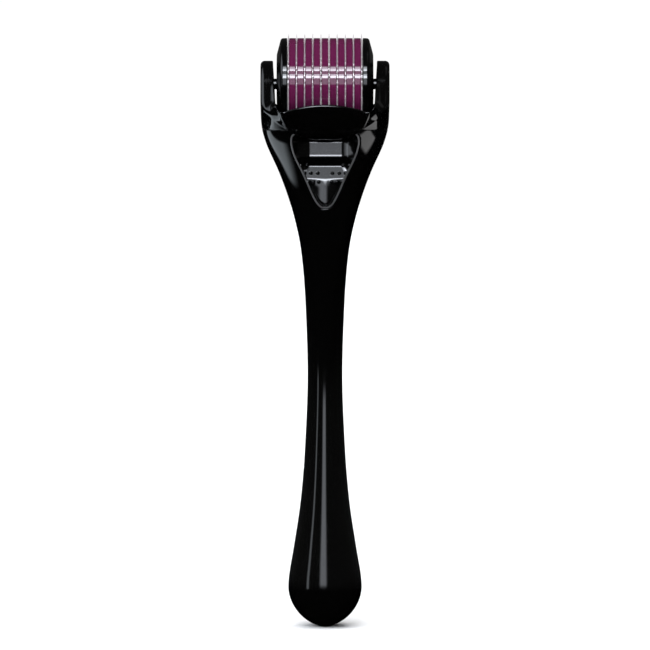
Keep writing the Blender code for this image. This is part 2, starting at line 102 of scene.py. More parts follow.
# The handle's sections, as (height, half width, half depth, middle of the depth, squareness).
HANDLE = [
    (BULB_Z, 8.70, 7.8, 0.0, 2.0),
    (18.0, 7.50, 6.9, 0.2, 2.0),
    (29.8, 5.74, 5.6, 0.6, 2.0),
    (41.6, 4.76, 4.9, 1.0, 2.0),
    (59.4, 4.09, 4.5, 1.4, 2.0),
    (76.9, 4.62, 4.9, 1.0, 2.05),
    (88.6, 5.59, 5.6, 0.2, 2.1),
    (98.0, 7.58, 6.8, -0.8, 2.2),
    (107.4, 10.80, 8.4, -2.0, 2.4),
    (114.5, 13.99, 9.9, -3.1, 2.7),
    (SEAM_Z, 14.70, 10.3, -3.4, 2.8),
]
# Above the seam the handle's section opens out into the yoke's arms.
COLUMN = [
    (SEAM_Z, 14.70, 10.3, -3.4, 2.8),
    (118.6, 14.86, 10.9, -3.4, 3.0),
    (120.0, 14.95, 12.2, -3.4, 3.4),
    (122.0, 14.98, 15.5, -3.4, 4.2),
    (124.0, 15.0, 19.0, -3.4, 5.0),
    (140.0, 15.0, 20.0, -3.4, 5.0),
]
# The arms from the side, as (height, front, back), the last two measured from the axle.
ARM_SIDE = [
    (108.0, 12.5, 13.5),
    (SEAM_Z, 11.2, 12.9),
    (119.0, 10.3, 12.2),
    (121.0, 9.4, 11.2),
    (123.0, 8.4, 9.8),
    (125.6, 7.0, 7.9),
    (127.8, 5.9, 6.5),
    (130.0, 4.9, 5.3),
    (131.8, 3.6, 3.9),
    (132.9, 2.2, 2.4),
    (ARM_TOP_Z, 0.4, 0.4),
]
# The right half of the thumb rest's outline, as (x, height), top first.
SHIELD = [
    (6.3, SEAM_Z + 3.0),
    (6.9, 116.9),
    (8.0, 115.8),
    (8.15, 114.5),
    (7.7, 112.1),
    (6.8, 109.8),
    (5.8, 107.8),
    (4.5, 105.0),
    (3.35, 102.3),
    (2.3, 100.3),
    (1.45, 99.2),
    (0.7, 98.8),
]
# The thumb rest's surface along its middle, as (height, y): pad, step, ramp and nose.
SCOOP = [
    (117.5, -7.32),
    (115.0, -7.99),
    (113.0, -8.52),
    (111.2, -8.997),
    (111.0, -9.03),
    (110.8, -9.02),
    (110.1, -8.80),
    (109.3, -8.38),
    (108.95, -8.27),
    (108.75, -8.275),
    (108.5, -8.335),
    (107.0, -8.733),
    (105.7, -9.078),
    (105.5, -9.113),
    (102.5, -9.49),
    (100.0, -9.70),
    (98.8, -9.35),
    (98.0, -8.6),
]
# The grip nubs, as a height and the distances from the middle on both sides.
NUB_ROWS = [(108.9, (4.2, 5.6)), (107.1, (1.7, 3.3, 4.75)), (105.1, (1.45, 2.7, 3.9))]
NUB_R = 0.36
WALL = 1.6
PARTING_GAP = 0.05
SEAM_GAP = 0.05
INSERT_GAP = 0.07
CHIN_GAP = 0.1
INSERT_THICK = 1.6

# The pad is flat across its middle, and its cheeks fall away beside that. The nose is crowned.
PAD_HALF = 3.4
CHEEK = 0.13
CHEEK_LOW_Z = 107.0
CHEEK_BLEND = 3.0
CROWN = 0.3
CROWN_HIGH_Z = 106.0
CROWN_BLEND = 2.5
RIDGE_R = 3.0
# A round bead runs along the thumb rest's edge, with a steep flank down to the floor.
BEAD_R = 0.22
FLANK_SLOPE = 2.2
FLANK_DEPTH = 0.6

# The guard is part of a cylinder about the axle. Its outline is given as (x, height).
GUARD_R = 13.5
GUARD_SIDE = [(10.6, 127.0), (10.6, 122.6), (10.2, 120.2), (9.6, 118.6), (8.9, SEAM_Z)]
GUARD_BACK = 4.0
GUARD_FILLET = 2.4
GUARD_FILLET_RISE = 3.0
GUARD_FILLET_START = SEAM_Z - 0.4
GUARD_TOP_Z = 123.1
GUARD_ARC_R = 28.4
GUARD_ARC_HALF = 9.5
# The slot between the arms, beside the guard's arc, as (x, height).
SLOT_SIDE = [(10.5, 121.4), (11.2, 122.3), (11.65, 124.2), (12.1, 132.0), (12.1, 140.0)]
LIP_R = 0.25
LIP_MORE_R = 0.4
LIP_BLEND_X = 10.4
LIP_BLEND = 1.5
CLEARANCE_R = 12.4
TROUGH_HALF = 9.0
CAP_CLEARANCE_R = 11.1
CAP_TROUGH_HALF = 11.65
# Thin walls under the end caps, at the corners between the guard and the arms.
CORNER_WALL = 0.7
CORNER_HALF = 12.0
CORNER_TOP_Z = 122.4
CORNER_BLEND = 1.8
STUB_HOLE_R = 1.34
# The guard's lower edge, where it meets the thumb rest, is an arc about this point on the middle line.
SMILE_Z = 129.3
SMILE_R = 14.8

# Edge radii of the formed pieces, from one too small to see to a soft one.
SHARP = 0.02
THIN_EDGE = 0.1
SEAM_EDGE = 0.12
INSERT_EDGE = 0.15
HOLE_EDGE = 0.2
GUARD_EDGE = 0.25
SOFT_EDGE = 0.3
CORNER_EDGE = 0.35
ARM_EDGE = 1.0
NUB_BLEND = 0.06
BEAD_BLEND = 0.08


def smooth_table(table, low, high, blur, step=0.05):
    """Each column of a table on a fine grid of heights, with the bends between its rows blurred."""
    rows = np.array(table, float)
    rows = rows[np.argsort(rows[:, 0])]
    heights = np.arange(low, high, step)
    h = rows[:, 0]
    columns = []
    for values in rows[:, 1:].T:
        slopes = np.diff(values) / np.diff(h)
        product = slopes[1:] * slopes[:-1]
        total = slopes[1:] + slopes[:-1]
        inner = np.where(product > 0, 2 * product / np.where(total == 0, 1, total), 0)
        tangents = np.concatenate([[slopes[0] if len(h) == 2 else 0], inner, [slopes[-1]]])
        at = np.clip(heights, h[0], h[-1])
        i = np.clip(np.searchsorted(h, at, side="right") - 1, 0, len(h) - 2)
        span = h[i + 1] - h[i]
        t = (at - h[i]) / span
        curve = (
            values[i] * (1 + 2 * t) * (1 - t) ** 2
            + tangents[i] * span * t * (1 - t) ** 2
            + values[i + 1] * t * t * (3 - 2 * t)
            + tangents[i + 1] * span * t * t * (t - 1)
        )
        curve += np.maximum(heights - h[-1], 0) * tangents[-1]
        columns.append(blurred(curve, blur / step))
    return heights, columns


def blurred(values, sigma):
    """Values smoothed by a Gaussian of sigma steps, with both ends held in place."""
    reach = int(3 * sigma) + 1
    kernel = np.exp(-0.5 * (np.arange(-reach, reach + 1) / max(sigma, 1e-6)) ** 2)
    start = 2 * values[0] - values[reach:0:-1]
    end = 2 * values[-1] - values[-2 : -reach - 2 : -1]
    return np.convolve(np.concatenate([start, values, end]), kernel / kernel.sum(), "valid")


# --- signed-distance tools -----------------------------------------------------------------


def both(a, b, r):
    """Where both fields are solid, with a rounded edge of radius r."""
    return np.minimum(np.maximum(a, b), -r) + np.hypot(np.maximum(a + r, 0), np.maximum(b + r, 0))


def either(a, b, r):
    """Where one of the fields is solid, with a fillet of radius r between them."""
    return -both(-a, -b, r)


def ease(t):
    """A smooth step from 0 to 1."""
    t = np.clip(t, 0, 1)
    return t * t * (3 - 2 * t)


class Outline:
    """Signed distance to a closed outline in a plane, looked up on a fine grid; blur rounds its corners."""

    def __init__(self, points, step=0.1, margin=4.0, blur=0.25):
        points = np.array(points, float)
        self.low = points.min(0) - margin
        self.step = step
        counts = np.ceil((points.max(0) + margin - self.low) / step).astype(int) + 1
        u, v = (self.low[k] + step * np.arange(counts[k]) for k in (0, 1))
        u, v = np.meshgrid(u, v, indexing="ij")
        nearest = np.full(u.shape, 1e9)
        inside = np.zeros(u.shape, bool)
        for a, b in zip(points, np.roll(points, -1, 0)):
            d = b - a
            if not d.any():
                continue
            t = np.clip(((u - a[0]) * d[0] + (v - a[1]) * d[1]) / (d @ d), 0, 1)
            nearest = np.minimum(nearest, (u - a[0] - t * d[0]) ** 2 + (v - a[1] - t * d[1]) ** 2)
            if d[1]:
                crosses = (a[1] > v) != (b[1] > v)
                inside ^= crosses & (u < a[0] + (v - a[1]) * d[0] / d[1])
        grid = np.where(inside, -1, 1) * np.sqrt(nearest)
        for axis in (0, 1):
            grid = np.apply_along_axis(blurred, axis, grid, blur / step)
        self.grid = grid

    def __call__(self, u, v):
        p = (u - self.low[0]) / self.step
        q = (v - self.low[1]) / self.step
        i = np.clip(p.astype(int), 0, self.grid.shape[0] - 2)
        j = np.clip(q.astype(int), 0, self.grid.shape[1] - 2)
        s, t = np.clip(p - i, 0, 1), np.clip(q - j, 0, 1)
        g = self.grid
        near = g[i, j] * (1 - s) * (1 - t) + g[i + 1, j] * s * (1 - t)
        return near + g[i, j + 1] * (1 - s) * t + g[i + 1, j + 1] * s * t


def mirrored(half):
    """A closed outline from the points of its right half, top first."""
    return list(half) + [(-x, z) for x, z in reversed(half)]


def section_field(x, y, z, heights, columns, power=1.0, rounded_end=0.0):
    """Distance to a stack of superelliptic sections, scaled to true length near the surface.

    Below the height rounded_end, the sections shrink and close the stack.
    """
    width, depth, middle, square = (np.interp(z, heights, c) for c in columns)
    u = np.abs(x) / width + 1e-9
    v = np.abs(y - middle) / depth + 1e-9
    rho = (u**square + v**square) ** (1 / square)
    slope = rho ** (1 - square) * np.hypot(u ** (square - 1) / width, v ** (square - 1) / depth)
    value = rho**power - 1
    rise = power * rho ** (power - 1) * slope
    if rounded_end:
        under = np.maximum(0, 1 - z / rounded_end)
        value = value + under**2
        rise = np.hypot(rise, 2 * under / rounded_end)
    return value / np.maximum(rise, 1e-4)


SHIELD_TIP = SHIELD[-1]

HANDLE_HEIGHTS, HANDLE_COLUMNS = smooth_table(HANDLE, -4, 122, blur=1.6)
COLUMN_HEIGHTS, COLUMN_COLUMNS = smooth_table(COLUMN, 112, 140, blur=0.4)
SHIELD_HEIGHTS, (SHIELD_HALF,) = smooth_table([(z, x) for x, z in SHIELD], SHIELD_TIP[1], 118.6, blur=0.25)
SCOOP_HEIGHTS, (SCOOP_Y,) = smooth_table(SCOOP, 97, 119, blur=0.12)


def handle_field(x, y, z):
    return section_field(x, y, z, HANDLE_HEIGHTS, HANDLE_COLUMNS, BULB_POWER, BULB_Z)


def handle_front(x, z):
    """y of the handle's front surface."""
    width, depth, middle, square = (np.interp(z, HANDLE_HEIGHTS, c) for c in HANDLE_COLUMNS)
    share = np.clip(np.abs(x) / width, 0, 0.999)
    return middle - depth * (1 - share**square) ** (1 / square)


def shield_points():
    heights = np.arange(SHIELD_TIP[1] + 0.2, 118.4, 0.4)[::-1]
    half = [(np.interp(z, SHIELD_HEIGHTS, SHIELD_HALF), z) for z in heights]
    return mirrored(half + [SHIELD_TIP])


shield = Outline(shield_points(), blur=0.12)
guard_side = Outline(mirrored(GUARD_SIDE), blur=0.35)


def slot_points():
    """The slot's outline: over the guard's arched top and up beside the arms."""
    arch_x = np.linspace(0, GUARD_ARC_HALF, 12)
    arch = [(x, GUARD_TOP_Z - GUARD_ARC_R + math.sqrt(GUARD_ARC_R**2 - x * x)) for x in arch_x]
    return mirrored((arch + SLOT_SIDE)[::-1])


slot = Outline(slot_points(), blur=0.2)


def arm_points():
    """The arms' outline from the side, up the front and down the back."""
    heights, (front, back) = smooth_table(ARM_SIDE, 108, ARM_TOP_Z + 0.01, blur=0.3, step=0.3)
    rising = [(-f, z) for z, f in zip(heights, front)]
    falling = [(b, z) for z, b in zip(heights[::-1], back[::-1])]
    return rising + falling


arm_side = Outline(arm_points(), blur=0.3)


# --- the plastic pieces as fields ----------------------------------------------------------


def shell_field(x, y, z, side):
    """Half of the handle: a hollow wall, open along the parting line and at the seam."""
    outer = handle_field(x, y, z)
    wall = both(outer, -(outer + WALL), SOFT_EDGE)
    middle = np.interp(z, HANDLE_HEIGHTS, HANDLE_COLUMNS[2])
    half = both(wall, PARTING_GAP / 2 - side * (y - middle), THIN_EDGE)
    return both(half, z - SEAM_Z + SEAM_GAP / 2, SEAM_EDGE)


def front_shell_field(x, y, z):
    """The front shell, with the opening for the thumb rest."""
    return both(shell_field(x, y, z, -1), -shield(x, z), HOLE_EDGE)


def rear_shell_field(x, y, z):
    return shell_field(x, y, z, 1)


def smile_field(x, z):
    """Distance outside the arc along which the guard's chin meets the thumb rest."""
    return np.hypot(x, z - SMILE_Z) - SMILE_R


def chin_outline(x, z):
    """The guard continues down inside the shield's outline as far as the smile's arc."""
    return both(shield(x, z) + INSERT_GAP, smile_field(x, z), THIN_EDGE)


def arms_field(x, away, z, round_axle, above_seam):
    """Both arms and what joins them behind the drum, before the drum's room is cut out."""
    column = section_field(x, away + AXLE_Y, z, COLUMN_HEIGHTS, COLUMN_COLUMNS)
    arms = both(arm_side(away, z), column, ARM_EDGE)
    arms = both(arms, above_seam, SEAM_EDGE)
    corner = both(round_axle - CAP_CLEARANCE_R - CORNER_WALL, np.abs(x) - CORNER_HALF, SOFT_EDGE)
    corner = both(corner, both(z - CORNER_TOP_Z, above_seam, THIN_EDGE), CORNER_EDGE)
    return either(arms, corner, CORNER_BLEND)


def yoke_field(x, y, z):
    away = y - AXLE_Y
    round_axle = np.hypot(away, z - AXLE_Z)
    above_seam = SEAM_Z + SEAM_GAP / 2 - z
    arms = arms_field(x, away, z, round_axle, above_seam)
    front = either(both(guard_side(x, z), above_seam, SHARP), chin_outline(x, z), SHARP)
    guard = both(both(round_axle - GUARD_R, front, GUARD_EDGE), away - GUARD_BACK, SOFT_EDGE)
    fillet = GUARD_FILLET * ease((z - GUARD_FILLET_START) / GUARD_FILLET_RISE) + SHARP
    body = either(arms, guard, fillet)
    trough = both(round_axle - CLEARANCE_R, np.abs(x) - TROUGH_HALF, THIN_EDGE)
    cap_trough = both(round_axle - CAP_CLEARANCE_R, np.abs(x) - CAP_TROUGH_HALF, THIN_EDGE)
    lip = LIP_R + LIP_MORE_R * ease((LIP_BLEND_X - np.abs(x)) / LIP_BLEND)
    body = both(body, -slot(x, z), lip)
    body = both(both(body, -trough, HOLE_EDGE), -cap_trough, HOLE_EDGE)
    return both(body, STUB_HOLE_R - round_axle, SEAM_EDGE)


def floor_front(x, z):
    """y of the thumb rest's surface inside its bead."""
    cheek = -CHEEK * np.maximum(0, np.abs(x) - PAD_HALF) ** 2
    crown = CROWN * (np.hypot(RIDGE_R, x) - RIDGE_R)
    floor = np.interp(z, SCOOP_HEIGHTS, SCOOP_Y)
    floor = floor + ease((z - CHEEK_LOW_Z) / CHEEK_BLEND) * cheek
    floor = floor + ease((CROWN_HIGH_Z - z) / CROWN_BLEND) * crown
    flank = handle_front(x, z) + FLANK_DEPTH + FLANK_SLOPE * np.minimum(0, shield(x, z) + 2 * BEAD_R)
    return np.maximum(floor, flank)


def thumb_rest_field(x, y, z):
    edge = shield(x, z) + INSERT_GAP
    floor = floor_front(x, z)
    rim = handle_front(x, z)
    body = both(floor - y, y - np.maximum(floor, rim) - INSERT_THICK, INSERT_EDGE)
    rib = both(rim + BEAD_R - y, y - floor - INSERT_THICK, INSERT_EDGE)
    rib = both(rib, -edge - 2 * BEAD_R, THIN_EDGE)
    bead = np.hypot(edge + BEAD_R, y - rim - BEAD_R) - BEAD_R
    body = either(body, either(rib, bead, SHARP), BEAD_BLEND)
    body = both(body, edge, SHARP)
    for height, places in NUB_ROWS:
        for place in places:
            base = float(floor_front(np.array(place), np.array(height)))
            nub = np.sqrt((np.abs(x) - place) ** 2 + (y - base) ** 2 + (z - height) ** 2) - NUB_R
            body = either(body, nub, NUB_BLEND)
    return both(body, CHIN_GAP - smile_field(x, z), SEAM_EDGE)


# --- from fields to meshes -----------------------------------------------------------------

GRID_LAYERS = 40
# Points are pulled onto the surface in a few passes, each at most this share of a grid step.
PULL_PASSES = 3
LONGEST_PULL = 0.3
PULL_REACH = 0.02
NORMAL_REACH = 0.05
LEAST_SLOPE_SQUARED = 0.05


def sampled(field, low, high, step):
    """A field's values on a grid round a box, a few layers at a time to spare memory."""
    axes = [np.arange(low[k] - 1.5 * step, high[k] + 2 * step, step) for k in range(3)]
    value = np.empty([len(a) for a in axes])
    for k in range(0, len(axes[2]), GRID_LAYERS):
        block = np.meshgrid(axes[0], axes[1], axes[2][k : k + GRID_LAYERS], indexing="ij")
        value[:, :, k : k + GRID_LAYERS] = field(*block)
    return axes, value


def crossed_cells(solid):
    """The grid cells with corners on both sides of the surface."""
    cells = [n - 1 for n in solid.shape]
    corners_in = np.zeros(cells, int)
    for i, j, k in np.ndindex(2, 2, 2):
        corners_in += solid[i : i + cells[0], j : j + cells[1], k : k + cells[2]]
    return np.argwhere((corners_in > 0) & (corners_in < 8))


def cell_points(value, where):
    """For each crossed cell, the mean of the places where the surface crosses its edges, in grid steps."""
    total = np.zeros((len(where), 3))
    hits = np.zeros(len(where))
    for axis in range(3):
        for offset in np.ndindex(2, 2):
            start = where.copy()
            start[:, [k for k in range(3) if k != axis]] += offset
            end = start.copy()
            end[:, axis] += 1
            a, b = value[tuple(start.T)], value[tuple(end.T)]
            crossed = (a < 0) != (b < 0)
            share = np.where(crossed, a / np.where(a == b, 1, a - b), 0)
            point = (start - where).astype(float)
            point[:, axis] += share
            total += point * crossed[:, None]
            hits += crossed
    return where + total / hits[:, None]


def cell_quads(solid, where):
    """A quad for each crossed grid edge, through the four cells round it, facing out of the solid."""
    number = np.full([n - 1 for n in solid.shape], -1)
    number[tuple(where.T)] = np.arange(len(where))
    quads = []
    for axis in range(3):
        first = [slice(1, n - 1) for n in solid.shape]
        first[axis] = slice(0, solid.shape[axis] - 1)
        second = list(first)
        second[axis] = slice(1, solid.shape[axis])
        a, b = solid[tuple(first)], solid[tuple(second)]
        edges = np.argwhere(a != b)
        entering = b[tuple(edges.T)]
        edges += [s.start for s in first]
        u, v = (k for k in range(3) if k != axis)
        around = []
        for du, dv in ((-1, -1), (0, -1), (0, 0), (-1, 0)):
            cell = edges.copy()
            cell[:, u] += du
            cell[:, v] += dv
            around.append(number[tuple(cell.T)])
        faces = np.stack(around, 1)
        flip = entering if axis != 1 else ~entering
        faces[flip] = faces[flip][:, ::-1]
        quads.append(faces)
    return np.concatenate(quads)


def surface_nets(field, low, high, step):
    """Points and quads on a field's zero surface, one point in each grid cell that the surface crosses."""
    axes, value = sampled(field, low, high, step)
    solid = value < 0
    where = crossed_cells(solid)
    corner = np.array([a[0] for a in axes])
    return corner + cell_points(value, where) * step, cell_quads(solid, where)


def gradient(field, points, reach):
    parts = []
    for axis in range(3):
        shift = np.zeros(3)
        shift[axis] = reach
        parts.append(field(*(points + shift).T) - field(*(points - shift).T))
    return np.stack(parts, 1) / (2 * reach)


def formed(name, field, low, high, step, finish):
    """A mesh of a field's zero surface, with the field's own normals."""
    points, quads = surface_nets(field, low, high, step)
    longest = LONGEST_PULL * step
    for _ in range(PULL_PASSES):
        slope = gradient(field, points, PULL_REACH)
        move = field(*points.T) / np.maximum((slope**2).sum(1), LEAST_SLOPE_SQUARED)
        points -= np.clip(move, -longest, longest)[:, None] * slope
    normals = gradient(field, points, NORMAL_REACH)
    normals /= np.linalg.norm(normals, axis=1)[:, None]
    return add_mesh(name, points, quads.tolist(), finish, normals)


def add_mesh(name, points, faces, finish, normals=None, sharp=None):
    """An object from points in millimetres. Its normals are given, or its edges are sharp past an angle."""
    mesh = bpy.data.meshes.new(name)
    mesh.from_pydata((np.array(points) * MM).tolist(), [], faces)
    mesh.validate()
    mesh.shade_smooth()
    mesh.materials.append(finish)
    if normals is not None:
        mesh.normals_split_custom_set_from_vertices(normals.tolist())
    if sharp is not None:
        mesh.set_sharp_from_angle(angle=math.radians(sharp))
    obj = bpy.data.objects.new(name, mesh)
    bpy.context.scene.collection.objects.link(obj)
    return obj


def paint_rim_highlight(obj):
    """Gives the faces along the thumb rest's edge a satin grey material, a painted highlight along its round
    bead.
    """
    mesh = obj.data
    mesh.materials.append(RIM_HIGHLIGHT)
    centres = np.empty(len(mesh.polygons) * 3)
    mesh.polygons.foreach_get("center", centres)
    x, y, z = centres.reshape(-1, 3).T / MM
    on_rim = (shield(x, z) + INSERT_GAP > -1.9 * BEAD_R) & (y < handle_front(x, z) + BEAD_R)
    mesh.polygons.foreach_set("material_index", on_rim.astype(np.int32))


def stand_for(obj, node, body):
    """Puts a visual piece in the place of a CAD node, riding on the node's body."""
    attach(obj, body)
    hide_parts(node)


# --- materials -----------------------------------------------------------------------------


def material(name):
    made = bpy.data.materials.new(name)
    made.use_nodes = True
    return made, made.node_tree, made.node_tree.nodes["Principled BSDF"]


def noise(tree, scale, detail=3.0):
    """The grey output of a noise texture placed in object space."""
    place = tree.nodes.new("ShaderNodeTexCoord")
    made = tree.nodes.new("ShaderNodeTexNoise")
    made.inputs["Scale"].default_value = scale
    made.inputs["Detail"].default_value = detail
    tree.links.new(place.outputs["Object"], made.inputs["Vector"])
    return made.outputs["Fac"]


def varied_roughness(tree, shader, source, low, high):
    """Roughness between two values, over the middle of a noise's span."""
    made = tree.nodes.new("ShaderNodeMapRange")
    for socket, value in zip(("From Min", "From Max", "To Min", "To Max"), (0.3, 0.7, low, high)):
        made.inputs[socket].default_value = value
    tree.links.new(source, made.inputs["Value"])
    tree.links.new(made.outputs["Result"], shader.inputs["Roughness"])


def bump(tree, shader, source, distance, strength):
    made = tree.nodes.new("ShaderNodeBump")
    made.inputs["Strength"].default_value = strength
    made.inputs["Distance"].default_value = distance * MM
    tree.links.new(source, made.inputs["Height"])
    tree.links.new(made.outputs["Normal"], shader.inputs["Normal"])


def mixed_colour(tree, shader, source, first, second):
    made = tree.nodes.new("ShaderNodeMix")
    made.data_type = "RGBA"
    made.inputs[6].default_value = (*first, 1)
    made.inputs[7].default_value = (*second, 1)
    tree.links.new(source, made.inputs[0])
    tree.links.new(made.outputs[2], shader.inputs["Base Color"])


def gloss_plastic(name, colours, roughness, scales, waviness):
    """A glossy moulding: faint mottling and waviness on a broad scale, and roughness on a fine one."""
    made, tree, shader = material(name)
    fine = noise(tree, scales[0])
    broad = noise(tree, scales[1], detail=2.0)
    mixed_colour(tree, shader, broad, *colours)
    varied_roughness(tree, shader, fine, *roughness)
    bump(tree, shader, broad, *waviness)
    shader.inputs["IOR"].default_value = 1.5
    return made


def black_plastic():
    colours = ((0.0004, 0.0004, 0.0004), (0.0007, 0.0007, 0.0007))
    return gloss_plastic("black_gloss_plastic", colours, (0.055, 0.095), (900.0, 120.0), (0.004, 0.5))


def purple_plastic():
    colours = ((0.062, 0.0058, 0.030), (0.070, 0.0068, 0.034))
    return gloss_plastic("purple_gloss_plastic", colours, (0.035, 0.065), (1200.0, 160.0), (0.003, 0.4))


def needle_steel():
    made, tree, shader = material("satin_needle_steel")
    fine = noise(tree, 4000.0)
    mixed_colour(tree, shader, fine, (0.62, 0.56, 0.58), (0.80, 0.75, 0.77))
    varied_roughness(tree, shader, fine, 0.32, 0.5)
    shader.inputs["Metallic"].default_value = 0.45
    return made


def rim_highlight_plastic():
    """The thumb rest's narrow edge in satin grey, lighter than the black: a painted highlight along the round
    bead.
    """
    made, tree, shader = material("edge_painted_highlight_plastic")
    fine = noise(tree, 2500.0)
    # These grey colours are a painted highlight along the bead, not the plastic's own colour.
    mixed_colour(tree, shader, fine, (0.036, 0.036, 0.037), (0.060, 0.060, 0.061))
    varied_roughness(tree, shader, fine, 0.28, 0.42)
    return made


BLACK = black_plastic()
RIM_HIGHLIGHT = rim_highlight_plastic()
PURPLE = purple_plastic()
STEEL = needle_steel()


# --- the formed pieces ---------------------------------------------------------------------

# Each piece's grid step.
FORMED = (
    ("handle_front_shell", front_shell_field, 0.26),
    ("handle_rear_shell", rear_shell_field, 0.34),
    ("thumb_rest", thumb_rest_field, 0.16),
    ("yoke", yoke_field, 0.22),
)
# The chin hangs this far below the seam. The stem inside the shells is not seen and is left out.
CHIN_REACH = 3.2
# The thumb rest's grid reaches a little behind its box.
THUMB_REST_BACK = 0.3

for node, field, step in FORMED:
    low, high = box_mm(node)
    if node == "yoke":
        low[2] = SEAM_Z - CHIN_REACH
    if node == "thumb_rest":
        high[1] += THUMB_REST_BACK
    piece = formed(f"{node}_smooth", field, low, high, step, BLACK)
    if node == "thumb_rest":
        # The thumb rest's edge gets a grey material, a painted highlight along its bead.
        paint_rim_highlight(piece)
    stand_for(piece, node, "handle")


# --- turned pieces on the axle -------------------------------------------------------------

# A short straight run beside each arc keeps the shading of flat faces flat.
FLAT_RUN = 0.03


def rounded_profile(points, radii, steps=4):
    """An open or closed run of (radius, x) points with an arc at each corner that has a radius."""
    result = []
    for i, point in enumerate(points):
        here = np.array(point, float)
        r = radii[i]
        if not r:
            result.append(tuple(here))
            continue
        before = np.array(points[i - 1], float) - here
        after = np.array(points[(i + 1) % len(points)], float) - here
        before /= np.linalg.norm(before)
        after /= np.linalg.norm(after)
        half = math.acos(np.clip(before @ after, -1, 1)) / 2
        back = r / math.tan(half)
        centre = here + (before + after) / np.linalg.norm(before + after) * r / math.sin(half)
        start, end = here + before * back, here + after * back
        result.append(tuple(start + before * FLAT_RUN))
        for k in range(steps + 1):
            spoke = (start - centre) * (1 - k / steps) + (end - centre) * (k / steps)
            result.append(tuple(centre + spoke / np.linalg.norm(spoke) * r))
        result.append(tuple(end + after * FLAT_RUN))
    return result


def rings(profile, segments, closed):
    """Points and quads of a profile of (radius, x) points turned about the axle."""
    angles = 2 * math.pi * np.arange(segments) / segments
    points = []
    for r, x in profile:
        ring = [np.full(segments, x), AXLE_Y + r * np.cos(angles), AXLE_Z + r * np.sin(angles)]
        points.extend(np.stack(ring, 1))
    faces = []
    for i in range(len(profile) if closed else len(profile) - 1):
        j = (i + 1) % len(profile)
        for k in range(segments):
            n = (k + 1) % segments
            faces.append((i * segments + k, i * segments + n, j * segments + n, j * segments + k))
    return points, faces


def turned(name, profile, segments, finish, closed, sharp):
    """A turned piece. An open profile gets a flat face at each end."""
    points, faces = rings(profile, segments, closed)
    if not closed:
        faces.append(tuple(reversed(range(segments))))
        faces.append(tuple(len(points) - segments + k for k in range(segments)))
    return add_mesh(name, points, faces, finish, sharp=sharp)


CORE_R = 3.7


def ring_profile(low, high, outer_r, edge_r, steps):
    """The section of a ring that fills a box's width, with its outer edges rounded."""
    corners = [(CORE_R, low[0]), (outer_r, low[0]), (outer_r, high[0]), (CORE_R, high[0])]
    return rounded_profile(corners, (0, edge_r, edge_r, 0), steps)[::-1]


def spacer_ring(number):
    node = f"spacer_ring_{number}"
    profile = ring_profile(*box_mm(node), DRUM_R, edge_r=0.1, steps=4)
    ring = turned(f"{node}_smooth", profile, 144, PURPLE, closed=True, sharp=40)
    stand_for(ring, node, "drum")


NEEDLES = 54
NEEDLE_ROOT_R = 10.35
NEEDLE_SUNK = 0.1
NEEDLE_HALF_WIDTH = 0.30
NEEDLE_THICKNESS = 0.98
# Along a needle, as (share of its length, share of its width), up to the point.
NEEDLE_TAPER = [(0.0, 1.0), (0.35, 0.72), (0.7, 0.36), (0.93, 0.1)]
NEEDLE_SIDES = 6
# From disc to disc, the needles step on by this share of their spacing.
DISC_STAGGER = 1 / 3


def add_needle(points, faces, middle, half, turn):
    """A pointed blade standing on the disc's edge, as thick as the disc at its root."""
    out = np.array((0, math.cos(turn), math.sin(turn)))
    side = np.array((0, -math.sin(turn), math.cos(turn)))
    root = np.array((middle, AXLE_Y, AXLE_Z)) + out * (NEEDLE_ROOT_R - NEEDLE_SUNK)
    length = NEEDLE_TIP_R - NEEDLE_ROOT_R + NEEDLE_SUNK
    base = len(points)
    for share, size in NEEDLE_TAPER:
        for k in range(NEEDLE_SIDES):
            a = 2 * math.pi * k / NEEDLE_SIDES
            wide = NEEDLE_HALF_WIDTH * size * math.cos(a)
            thick = half * NEEDLE_THICKNESS * math.sin(a) * min(1.0, size + 0.15)
            points.append(root + out * share * length + side * wide + np.array((thick, 0, 0)))
    tip = len(points)
    points.append(root + out * length)
    for row in range(len(NEEDLE_TAPER)):
        for k in range(NEEDLE_SIDES):
            a = base + row * NEEDLE_SIDES + k
            b = base + row * NEEDLE_SIDES + (k + 1) % NEEDLE_SIDES
            if row == len(NEEDLE_TAPER) - 1:
                faces.append((b, a, tip))
            else:
                faces.append((b, a, a + NEEDLE_SIDES, b + NEEDLE_SIDES))
    faces.append(tuple(base + k for k in range(NEEDLE_SIDES)))


def needle_disc(number):
    """A thin disc with pointed needles standing all round its edge."""
    node = f"needle_disc_{number:02d}"
    low, high = box_mm(node)
    middle, half = (low[0] + high[0]) / 2, (high[0] - low[0]) / 2
    profile = ring_profile(low, high, NEEDLE_ROOT_R, edge_r=0.06, steps=2)
    points, faces = rings(profile, 2 * NEEDLES, closed=True)
    for i in range(NEEDLES):
        turn = 2 * math.pi * (i + (number - 1) * DISC_STAGGER) / NEEDLES
        add_needle(points, faces, middle, half, turn)
    disc = add_mesh(f"{node}_smooth", np.array(points), faces, STEEL, sharp=50)
    stand_for(disc, node, "drum")


CAP_WIDTH = 2.45
CAP_SEAT = 0.04
CAP_FACE_R = 6.9
CAP_EDGE = 1.0
STUB_R = 1.25
SPIGOT_R = 1.94
SPIGOT_LENGTH = 5.0
AXIS_R = 0.02


